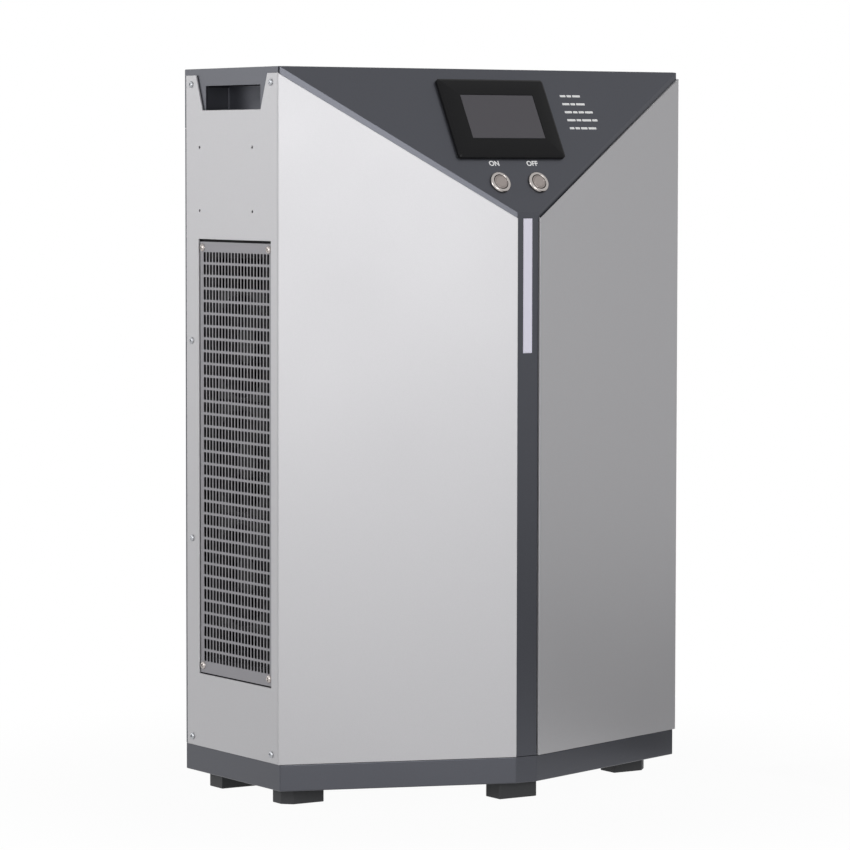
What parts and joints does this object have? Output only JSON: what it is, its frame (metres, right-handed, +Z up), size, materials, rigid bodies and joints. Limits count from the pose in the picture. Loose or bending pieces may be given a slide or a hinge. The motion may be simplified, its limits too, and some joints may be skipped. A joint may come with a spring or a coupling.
{
  "type": "forklift battery charger",
  "caption": "Floor-standing battery charger cabinet with a sloped control panel, light strip, slotted side grilles, hand pockets, fans and block feet.",
  "frame": {"origin": "on the floor, under the middle of the overall box", "axes": "+Z up, -Y towards the front strip, +X to the right seen from the front"},
  "size_m": [0.5344, 0.3196, 0.8],
  "materials": {
    "gunmetal": "satin dark grey powder coat",
    "silver_paint": "fine silver grey powder coat",
    "grille_paint": "mid grey powder coat",
    "opal_diffuser": "opal",
    "black_plastic": "fine texture",
    "screen_glass": "touch film over a dark display",
    "nickel": "satin nickel plate",
    "zinc": "zinc plate",
    "circuit_board": "solder mask",
    "aluminium": "extruded",
    "foot_rubber": "moulded"
  },
  "bodies": {
    "cabinet": {"base_tray": "gunmetal", "front_fascia": "gunmetal", "top_cap": "gunmetal", "rear_panel": "gunmetal", "handle_pocket_left": "gunmetal", "handle_pocket_right": "gunmetal", "front_panel_left": "silver_paint", "front_panel_right": "silver_paint", "side_panel_left": "silver_paint", "side_panel_right": "silver_paint", "grille_left": "grille_paint", "grille_right": "grille_paint", "light_strip": "opal_diffuser", "screen_housing": "black_plastic", "screen_glass": "screen_glass", "start_button_body": "nickel", "stop_button_body": "nickel", "chassis_frame": "zinc", "control_board": "circuit_board", "mains_contactor": "black_plastic", "output_contactor": "black_plastic", "mains_gland": "black_plastic", "output_gland": "black_plastic", "foot_front_centre": "foot_rubber", "foot_front_left": "foot_rubber", "foot_front_right": "foot_rubber", "foot_rear_left": "foot_rubber", "foot_rear_right": "foot_rubber", "fan_frame_1": "black_plastic", "power_module_1": "aluminium", "fan_frame_2": "black_plastic", "power_module_2": "aluminium", "fan_frame_3": "black_plastic", "power_module_3": "aluminium", "side_screw_left_1": "zinc", "side_screw_left_2": "zinc", "side_screw_left_3": "zinc", "side_screw_left_4": "zinc", "side_screw_left_5": "zinc", "side_screw_left_6": "zinc", "grille_screw_left_1": "nickel", "grille_screw_left_2": "nickel", "grille_screw_left_3": "nickel", "grille_screw_left_4": "nickel", "side_screw_right_1": "zinc", "side_screw_right_2": "zinc", "side_screw_right_3": "zinc", "side_screw_right_4": "zinc", "side_screw_right_5": "zinc", "side_screw_right_6": "zinc", "grille_screw_right_1": "nickel", "grille_screw_right_2": "nickel", "grille_screw_right_3": "nickel", "grille_screw_right_4": "nickel"},
    "start_button": {"start_button_cap": "nickel"},
    "stop_button": {"stop_button_cap": "nickel"},
    "fan_rotor_1_body": {"fan_rotor_1": "black_plastic"},
    "fan_rotor_2_body": {"fan_rotor_2": "black_plastic"},
    "fan_rotor_3_body": {"fan_rotor_3": "black_plastic"}
  },
  "joints": [
    {"name": "start_button_press", "type": "slide", "parent": "cabinet", "child": "start_button", "axis": [0, 0.8738, -0.4863], "range_m": [0, 0.002], "stiffness_N_per_m": 1200},
    {"name": "stop_button_press", "type": "slide", "parent": "cabinet", "child": "stop_button", "axis": [0, 0.8738, -0.4863], "range_m": [0, 0.002], "stiffness_N_per_m": 1200},
    {"name": "fan_1_spin", "type": "hinge", "parent": "cabinet", "child": "fan_rotor_1_body", "pos_m": [-0.2357, 0.02213, 0.24535], "axis": [1, 0, 0], "continuous": true},
    {"name": "fan_2_spin", "type": "hinge", "parent": "cabinet", "child": "fan_rotor_2_body", "pos_m": [-0.2357, 0.02213, 0.37135], "axis": [1, 0, 0], "continuous": true},
    {"name": "fan_3_spin", "type": "hinge", "parent": "cabinet", "child": "fan_rotor_3_body", "pos_m": [-0.2357, 0.02213, 0.49735], "axis": [1, 0, 0], "continuous": true}
  ]
}
